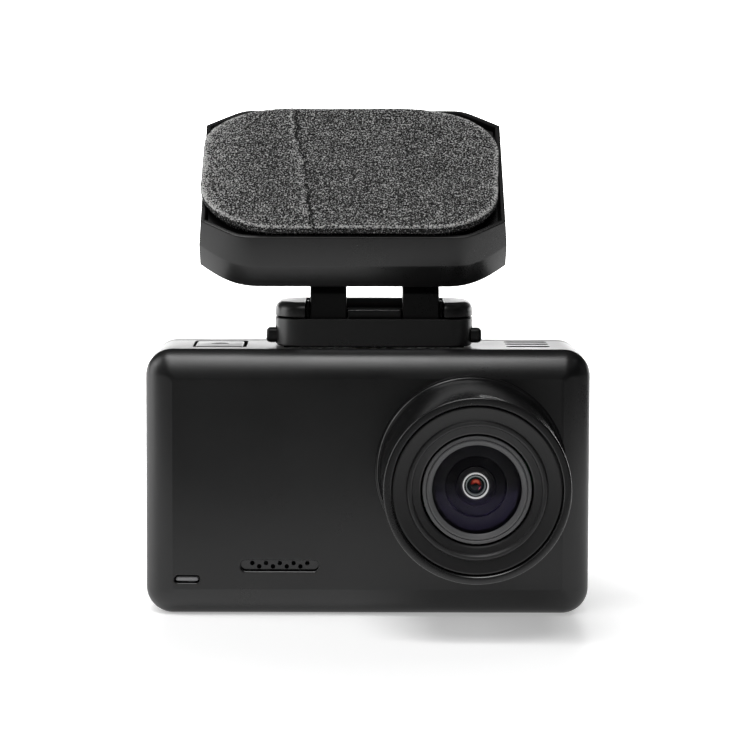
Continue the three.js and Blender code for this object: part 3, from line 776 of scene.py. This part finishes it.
def make_front_fittings():
    plate = loft("plate", [facing(rounded_rect(17.2, 4.4, 1, 6, SPEAKER_AT), y)
                           for y in (FACE_Y + 1.3, FACE_Y + 2.1)])
    holes = []
    for i in range(9):
        at = (SPEAKER_AT[0] + (i - 4) * 1.3, SPEAKER_AT[1] + (-0.32 if i % 2 else 0.32))
        holes.append(slot_cutter(hole(0.4, at, 4), facing, FACE_Y + 1.3, 2, 0.06))
    boolean(plate, holes)
    piece(plate, "speaker_grille_plate", "camera", BLACK_GLOSS, "black_gloss", "speaker_grille")

    pipe_y = FACE_Y + 0.3
    rings = [(0.3, pipe_y), (0.1, pipe_y + 0.1), (0, pipe_y + 0.3), (0, pipe_y + 2.3),
             (-0.55, pipe_y + 2.35), (-0.55, pipe_y + 2.7)]
    pipe = loft("pipe", [facing(rounded_rect(4.3 - 2 * inset, 0.9 - 2 * inset, 0.44, 6, WINDOW_AT), y)
                         for inset, y in rings])
    piece(pipe, "indicator_window", "camera", PALE, "grey_plastic", "indicator_light_pipe")

    low, high = cad_mm("port_cover")
    middle = ((low.x + high.x) / 2 - 0.15, (low.y + high.y) / 2 + 0.35)
    width, depth = high.x - low.x - 0.4, high.y - low.y - 0.8
    rings = [(0, low.z), (0, high.z - 0.25)]
    rings += [(0.25 * inn, high.z - 0.25 + 0.25 * up) for inn, up in arc_steps(4)]
    cover = loft("cover", [lying(rounded_rect(width - 2 * inset, depth - 2 * inset, 0.6, 6, middle), z)
                           for inset, z in rings])
    # the scoop for a fingernail: deepest under its round rear edge, rising to nothing at the front
    scoop_r, scoop_y = 1.75, middle[1] + 0.15
    arc = [(scoop_r * math.cos(math.pi * i / 16), scoop_r * math.sin(math.pi * i / 16)) for i in range(17)]
    bottom = [(middle[0] + u, scoop_y + v, high.z - 0.25 - 0.55 * v / scoop_r) for u, v in arc]
    top = [(middle[0] + u * 1.04, scoop_y + v * 1.04, high.z + 1) for u, v in arc]
    boolean(cover, [loft("scoop", [bottom, top])])
    piece(cover, "port_flap", "port_cover", CASING, "casing", "port_cover")


# ---- lens ----
def make_lens():
    housing = [
        (COLLAR_R, FACE_Y - 0.3), (14.0, FACE_Y - 0.3), (14.0, -11.2), (12.4, -11.2), (12.4, -16.5),
        (14.6, -16.5), (14.6, NOSE_Y + 2.3), (15.45, NOSE_Y + 2.3), (15.45, NOSE_Y + 0.35),
        (15.5, NOSE_Y + 0.16), (15.63, NOSE_Y + 0.04), (15.8, NOSE_Y),
    ]
    housing += [(RIM_R - 0.4 + 0.4 * math.sin(a), NOSE_Y + 0.4 * (1 - math.cos(a)))
                for a in (math.radians(90 * i / 6) for i in range(7))]
    housing += [(RIM_R + 0.06, -24.0), (RIM_R + 0.1, -18.0)]
    # the cove that runs out into the collar
    foot_y = FACE_Y - 0.75
    housing += [(RIM_R + 0.1 + 0.8 * (1 - math.cos(a)), -18.0 + (foot_y + 18.0) * math.sin(a))
                for a in (math.radians(90 * i / 10) for i in range(1, 11))]
    housing += [(COLLAR_R - 0.25, foot_y - 0.05), (COLLAR_R - 0.08, foot_y + 0.02),
                (COLLAR_R, foot_y + 0.18)]
    obj = lathe("housing", housing, 192)
    piece(obj, "lens_housing_shell", "camera", BARREL, "casing", "lens_housing")

    trim = [(15.2, NOSE_Y + 2.0), (15.2, NOSE_Y + 0.75), (15.1, NOSE_Y + 0.62), (14.9, NOSE_Y + 0.6),
            (13.2, NOSE_Y + 0.95), (12.75, NOSE_Y + 1.02), (12.62, NOSE_Y + 0.85), (12.52, NOSE_Y + 0.68),
            (12.35, NOSE_Y + 0.6), (11.95, NOSE_Y + 0.62), (11.75, NOSE_Y + 0.75), (11.6, NOSE_Y + 1.05),
            (10.45, NOSE_Y + 1.25), (10.2, NOSE_Y + 1.38), (10.15, NOSE_Y + 1.6), (10.15, NOSE_Y + 3.6),
            (11.5, NOSE_Y + 3.6), (11.5, NOSE_Y + 2.0)]
    piece(lathe("trim", trim, 192), "lens_trim_ring", "camera", RINGS, "lens_trim", "lens_front_ring")

    barrel = [(9.8, NOSE_Y + 1.7), (9.72, NOSE_Y + 1.56), (9.6, NOSE_Y + 1.5), (9.25, NOSE_Y + 1.5),
              (9.1, NOSE_Y + 1.65), (9.1, -32.7), (5.6, -32.7), (5.6, -27), (4.9, -27), (4.9, -2), (6, -2),
              (6, -29.5), (9.8, -29.5)]
    piece(lathe("barrel", barrel, 160), "lens_barrel_tube", "camera", RETAINER, "lens_trim",
          "lens_barrel")

    retainer = [(9.05, NOSE_Y + 1.6), (8.98, NOSE_Y + 1.48), (8.8, NOSE_Y + 1.44), (8.2, NOSE_Y + 1.75),
                (8.06, NOSE_Y + 1.9), (8.03, NOSE_Y + 2.25), (9.05, NOSE_Y + 2.3)]
    piece(lathe("retainer", retainer, 160), "lens_retainer", "camera", RETAINER, "lens_trim",
          "lens_retaining_ring")

    edge_r, edge_y, front_y = 8.6, NOSE_Y + 2.9, NOSE_Y + 0.5
    rise = edge_y - front_y
    curve = (edge_r ** 2 + rise ** 2) / (2 * rise)
    front = [(edge_r * i / 24, front_y + curve - math.sqrt(curve ** 2 - (edge_r * i / 24) ** 2))
             for i in range(25)]
    back = [(6.2 * i / 16, -33.0 - 3.0 * math.cos(math.radians(90 * i / 16))) for i in range(16, -1, -1)]
    profile = front + [(edge_r, -33.0)] + back
    dome = lathe("dome", profile, 128)
    piece(dome, "front_lens_glass", "camera", FRONT_GLASS, "lens_glass", "front_lens")
    # only the front has the coating, so that light is not caught inside
    dome.data.materials.append(CLEAR_GLASS)
    rear = [int(face.normal.y > 0) for face in dome.data.polygons]
    dome.data.polygons.foreach_set("material_index", rear)

    # seen through the glass: a stepped black funnel, the pale pupil ring and the coated inner lens
    funnel = [(5.5, -32.4), (5.5, -31.9), (3.75, -32.05), (3.6, -32.25), (3.5, -32.25), (3.4, -31.9),
              (2.6, -31.8), (2.5, -31.4), (5.3, -31.0), (5.5, -31.4)]
    piece(lathe("funnel", funnel, 96), "middle_lens_mask", "camera", RINGS,
          "black_gloss", "middle_lens")
    ring = [(2.36, -32.0), (2.2, -32.12), (2.14, -31.9), (2.14, -31.3), (2.36, -31.3)]
    piece(lathe("ring", ring, 96), "pupil_ring", "camera", PUPIL_RING, "steel", "aperture_ring")
    ring = [(1.78, -31.8), (1.66, -31.9), (1.6, -31.6), (1.6, -31.0), (1.78, -31.0)]
    piece(lathe("ring", ring, 64), "inner_ring", "camera", GREY_RING, "steel")
    sleeve = [(2.1, -31.2), (1.85, -31.2), (1.85, -30.9), (2.1, -30.9)]
    piece(lathe("sleeve", sleeve, 64), "pupil_sleeve", "camera", RINGS, "black_gloss")
    bead = [(1.52 * math.sin(a), -30.6 - 0.8 * math.cos(a)) for a in
            (math.radians(90 * i / 10) for i in range(11))] + [(0, -30.6)]
    piece(lathe("bead", bead, 64), "pupil_lens", "camera", PUPIL, "lens_glass")


# ---- foot of the mount ----
def foot_outline(inset, steps=14):
    width, depth = FOOT_HIGH.x - FOOT_LOW.x, FOOT_HIGH.y - FOOT_LOW.y
    middle = ((FOOT_LOW.x + FOOT_HIGH.x) / 2, (FOOT_LOW.y + FOOT_HIGH.y) / 2)
    return rounded_rect(width - 2 * inset, depth - 2 * inset, 5.9 - inset, steps, middle)


POCKET_X, POCKET_BACK = (-11.9, 14.4), 2.0


def axle_cutter():
    """A cutter for the axle's bore through the foot."""
    points = circle(BORE_R, (AXIS.y, AXIS.z))
    return loft("axle", [[(x, y, z) for y, z in points] for x in (-17.2, 19.5)])


def make_foot():
    base_z, split_z, top_z = FOOT_LOW.z, FOOT_HIGH.z, CAP_HIGH.z
    rings = [(0.3, base_z), (0.09, base_z + 0.1), (0, base_z + 0.3), (0, split_z - 0.15), (0.15, split_z)]
    base = loft("base", [lying(foot_outline(inset), z) for inset, z in rings])
    pocket = box_between((POCKET_X[0], FOOT_LOW.y + 1.3, 52), (POCKET_X[1], POCKET_BACK, split_z + 1))
    boolean(base, [pocket])
    bevel(base, 0.25, 3, 50)
    # each latch slides in a slot in the side, with a wider slot behind it for its flange
    middle = (FOOT_LOW.x + FOOT_HIGH.x) / 2
    windows = []
    for side in (-1, 1):
        for near, far, front, back in ((14.05, 16.7, -8.0, -2.4), (16, 20, -5.7, -2.7)):
            x0, x1 = sorted((middle + side * near, middle + side * far))
            windows.append(box_between((x0, front, base_z - 1), (x1, back, 54.4)))
    boolean(base, [axle_cutter(), *windows,
                   box_between((-4.2, 2.5, base_z - 1), (6.7, 4.7, split_z - 1))])
    piece(base, "foot_base_shell", "foot", MOUNT, "mount_plastic", "foot_base")

    knuckle = box_between((ARMS[0][1] + 0.25, -7.0, 52.3),
                          (ARMS[1][0] - 0.25, POCKET_BACK + 0.4, 57.5))
    bevel(knuckle, 0.3, 3)
    boolean(knuckle, [axle_cutter()])
    piece(knuckle, "foot_knuckle", "foot", MOUNT, "mount_plastic")

    fillet = 1.7
    rings = [(0.12, CAP_LOW.z), (0, CAP_LOW.z + 0.12), (0, top_z - fillet)]
    rings += [(fillet * inn, top_z - fillet + fillet * up) for inn, up in arc_steps(7)]
    cap = loft("cap", [lying(foot_outline(inset), z) for inset, z in rings])
    boolean(cap, [box_between((POCKET_X[0], FOOT_LOW.y - 1, CAP_LOW.z - 1),
                              (POCKET_X[1], POCKET_BACK, top_z + 1))])
    bevel(cap, 0.45, 4, 50)
    boolean(cap, [axle_cutter()])
    piece(cap, "foot_cap_shell", "foot", MOUNT, "mount_plastic", "foot_cap")

    for name in ("left", "right"):
        node = "latch_" + name
        low, high = cad_mm(node)
        tab_low, tab_high = (low.x, low.x + 4.4) if name == "left" else (high.x - 4.4, high.x)
        tab = box_between((tab_low, -5.4, LATCH_Z[0]), (tab_high, -3.0, LATCH_Z[1]))
        bevel(tab, 0.8, 5)
        flange = (low.x + 4.2, high.x) if name == "left" else (low.x, high.x - 4.2)
        behind = box_between((flange[0], -7.9, LATCH_Z[0]), (flange[1], -2.5, LATCH_Z[1]))
        boolean(tab, [behind], "UNION")
        piece(tab, node + "_tab", node, MOUNT, "mount_plastic", node)


# ---- head of the mount ----
def head_outline(flare, inset, steps=20):
    """The head's outline, flared by some of the way in mm from the rim's shape to the lower box's."""
    mixed = {key: rim + (HEAD_BOX_OUTLINE[key] - rim) * flare / HEAD_FLARE
             for key, rim in HEAD_RIM_OUTLINE.items()}
    slant = math.radians(mixed["slant"])
    slide = inset * math.tan(slant / 2)
    edge = mixed["half_v"] - inset
    end = Vector((mixed["half_w"] - inset, mixed["vertex"] - inset * (1 - math.sin(slant)) / math.cos(slant)))
    start, bend = Vector((mixed["start"] - slide, edge)), Vector((mixed["bend"] - slide, edge))
    handle = end + mixed["reach"] * Vector((-math.cos(slant), math.sin(slant)))
    points = []
    for side, up in ((1, 1), (-1, 1), (-1, -1), (1, -1)):
        stretch = []
        for i in range(steps + 1):
            t = i / steps
            stretch.append((1 - t) ** 3 * start + 3 * t * (1 - t) ** 2 * bend
                           + 3 * t ** 2 * (1 - t) * handle + t ** 3 * end)
        placed = [(HEAD_X + side * p.x, HEAD_V + up * p.y) for p in stretch]
        points += placed[::-1] if side * up > 0 else placed
    return points


def eased(levels, ease=0.22):
    """Rounds the corners of a list of (flare, inset, height) levels by a short curve at each."""
    rounded = [levels[0]]
    for before, here, after in zip(levels, levels[1:], levels[2:]):
        here_v, before_v, after_v = Vector(here), Vector(before), Vector(after)
        start = here_v + (before_v - here_v).normalized() * min(ease, (before_v - here_v).length / 2)
        end = here_v + (after_v - here_v).normalized() * min(ease, (after_v - here_v).length / 2)
        for i in range(5):
            t = i / 4
            rounded.append(tuple((1 - t) ** 2 * start + 2 * t * (1 - t) * here_v + t * t * end))
    return rounded + [levels[-1]]


def arm_shape():
    """The side of one arm, from the front of the knuckle round to the back, in the head's frame."""
    points = [(3.9 * math.cos(a), 3.9 * math.sin(a)) for a in
              (math.radians(150 + 230 * i / 30) for i in range(31))]
    return points + [(5.5, 5.8), (8.0, 10.3), (2.6, 10.3), (1.9, 6.05), (0.3, 5.75)]


def make_head():
    skin, lip, tray_top, flare = 1.4, 0.9, HEAD_RIM - 1.1, HEAD_FLARE
    levels = [(flare, 2, HEAD_BOTTOM), (flare, 0, HEAD_BOTTOM), (flare, 0, HEAD_WALL), (0, 0, HEAD_RIM),
              (0, 0.6, HEAD_RIM)]
    body = loft("head", [in_head(head_outline(out, inset), w) for out, inset, w in eased(levels)])
    inner = [(flare, skin, HEAD_BOTTOM + skin), (flare, skin, HEAD_WALL), (0, skin, tray_top - 1.4),
             (0, lip, tray_top - 1.3), (0, lip, HEAD_RIM - 0.2), (0, lip - 0.2, HEAD_RIM),
             (0, lip - 0.2, HEAD_RIM + 1)]
    hollow = loft("hollow", [in_head(head_outline(out, inset), w) for out, inset, w in inner])
    boolean(body, [hollow])
    for x0, x1 in ARMS:
        arm = loft("arm", [across_head(arm_shape(), x) for x in (x0, x1)])
        bevel(arm, 0.22, 3, 30)
        boolean(body, [arm], "UNION")
    boolean(body, [loft("bore", [across_head(circle(BORE_R), x) for x in (-20, 20)])])
    piece(body, "head_housing", "head", MOUNT, "mount_plastic", "head_shell")

    tray = loft("tray", [in_head(head_outline(0, inset), w) for inset, w in (
        (lip + 0.3, tray_top - 1.0), (lip + 0.3, tray_top - 0.15), (lip + 0.45, tray_top))])
    piece(tray, "head_tray_plate", "head", MOUNT, "mount_plastic", "head_tray")


# The pad's cut edge: a long side at each end and a stretched round corner between them, as
# (side, up, reach across, reach up, corner across, corner up) from the head's middle.
PAD_CORNERS = ((1, -1, 27.3, 17.5, 12.5, 9.6), (1, 1, 27.9, 16.4, 17.5, 12.4),
               (-1, 1, 28.7, 16.4, 16.8, 10.6), (-1, -1, 28.9, 17.5, 15.0, 12.0))
# the fold pressed across the pad, as (across, up the slope)
CREASE = ((-7.6, -17.4), (-7.8, -15.3), (-8.3, -9.7), (-8.9, -3.5), (-9.4, 2.1), (-10.7, 7.1),
          (-11.2, 15.6), (-11.3, 17.4))


def pad_outline(spacing=0.6):
    """Evenly spaced points round the pad's edge."""
    rough = []
    for side, up, reach_u, reach_v, corner_u, corner_v in PAD_CORNERS:
        start = {(1, -1): -90, (1, 1): 0, (-1, 1): 90, (-1, -1): 180}[side, up]
        for i in range(25):
            angle = math.radians(start + 90 * i / 24)
            rough.append(Vector((side * (reach_u - corner_u) + corner_u * math.cos(angle),
                                 up * (reach_v - corner_v) + corner_v * math.sin(angle))))
    points = []
    for a, b in zip(rough, rough[1:] + rough[:1]):
        pieces = max(1, round((b - a).length / spacing))
        points += [a.lerp(b, i / pieces) for i in range(pieces)]
    return points


def crease_offset(u, v):
    """How far a point lies across from the fold, positive on its right."""
    for (u0, v0), (u1, v1) in zip(CREASE, CREASE[1:]):
        if v <= v1 or (u1, v1) == CREASE[-1]:
            t = (v - v0) / (v1 - v0)
            return u - (u0 + (u1 - u0) * t) - 0.22 * math.sin(v * 1.3) - 0.12 * math.sin(v * 3.1)
    return u


def pad_relief(u, v, edge):
    """The pad's height above flat, and a value that lightens or darkens the foam there, which holds scuffs
    and random tone as well as painted shade in the fold and painted highlights beside it and along the rim.
    edge is 1 at the rim and 0 inside.
    """
    off = crease_offset(u, v)
    furrow = -0.32 * math.exp(-(off / 0.24) ** 2)
    ridge = 0.10 * math.exp(-((abs(off) - 0.7) / 0.5) ** 2)
    waves = 0.20 * noise.noise(Vector((u * 0.13, v * 0.16, 1.7)))
    lumps = 0.06 * noise.noise(Vector((u * 0.8, v * 0.8, 5.1)))
    # painted shade down the middle of the fold, and a painted highlight on a strip beside it on its left
    wear_and_painted_light = 0.45 * math.exp(-((off + 0.9) / 0.6) ** 2) - 1.2 * math.exp(-(off / 0.22) ** 2)
    # paler towards the left end of the pad, and a painted highlight along the rim
    left = max(0.0, 1 - (u + 28) / 9)
    wear_and_painted_light += 0.30 * left + 0.9 * edge ** 3
    wear_and_painted_light += 0.12 * noise.noise(Vector((u * 0.25, v * 0.3, 9.4)))
    return furrow + ridge + waves + lumps, wear_and_painted_light


def make_pad():
    top, bottom = HEAD_RIM + PAD_PROUD, HEAD_RIM - 0.8
    outline, across = pad_outline(), 46
    rings, wear_and_painted_light_rings = [], []

    def add_ring(share, level, drop, edge, tuck=0.0):
        """One ring of the pad, at a share of its outline: on its face, or at a level on its side,
        where tuck draws it in to stand inside the lip."""
        ring, values = [], []
        for p in outline:
            # the cut is ragged
            ragged = 1 + 0.004 * noise.noise(Vector((p.x * 0.9, p.y * 0.9, 2.0)))
            out = ragged * share * (1 - tuck / p.length)
            u, v = p.x * out, p.y * out
            if tuck and p.x < -20:
                u = max(u, -27.2)
            height, wear_and_painted_light = pad_relief(u, v, edge)
            w = (top - drop + height) if level is None else level
            ring.append(HEAD_MATRIX @ Vector((HEAD_X + u, HEAD_V + v, w)))
            # the pad's sides are darker than its face
            values.append(wear_and_painted_light if level is None else -0.45)
        rings.append(ring)
        wear_and_painted_light_rings.append(values)

    add_ring(1, bottom, 0, 1, 0.75)
    add_ring(1, HEAD_RIM - 0.1, 0, 1, 0.65)
    add_ring(1, HEAD_RIM + 0.25, 0, 1, 0.25)
    for level in (0.6, 1.1, 1.6):
        add_ring(1, HEAD_RIM + level, 0, 1)
    for i in range(5):
        angle = math.radians(90 * i / 4)
        add_ring(1 - 0.010 * (1 - math.cos(angle)), None, 0.25 * (1 - math.sin(angle)), 1)
    for i in range(1, across + 1):
        add_ring(0.990 * (1 - i / (across + 0.5)), None, 0, max(0.0, 1 - i / 3))
    pad = loft("pad", rings, 60)
    values = [value for ring in wear_and_painted_light_rings for value in ring]
    attribute = pad.data.attributes.new("wear_and_painted_light", "FLOAT", "POINT")
    attribute.data.foreach_set("value", values[:len(pad.data.vertices)])
    piece(pad, "foam_pad_cushion", "head", FOAM, "foam", "foam_pad")


# ---- the CAD nodes that stay as they are ----
def dress_nodes():
    finishes = {
        AXLE: ("hinge_axle", "friction_washer_left", "friction_washer_right"),
        STEEL: ("shield_can", "usb_socket", "card_socket", "microphone", "foot_screw_left",
                "foot_screw_right", "latch_spring_left", "latch_spring_right", "head_screw_left",
                "head_screw_right"),
        BRASS: ("contact_pins",),
        BOARD: ("main_board", "button_board", "contact_board", "image_sensor", "gps_board"),
        BLACK_GLOSS: ("memory_card", "supercapacitor_lower", "supercapacitor_upper", "lens_holder"),
        PALE: ("display_panel", "speaker"),
        INNER_GLASS: ("rear_lens", "filter_glass"),
        CERAMIC: ("gps_antenna",),
    }
    for material, names in finishes.items():
        for name in names:
            node = frame["nodes"][name]
            for spot in node.material_slots:
                spot.material = material


add_camera()
add_studio()
make_front_shell()
make_rear_cover()
make_rear_fittings()
make_front_fittings()
make_lens()
make_foot()
make_head()
make_pad()
dress_nodes()
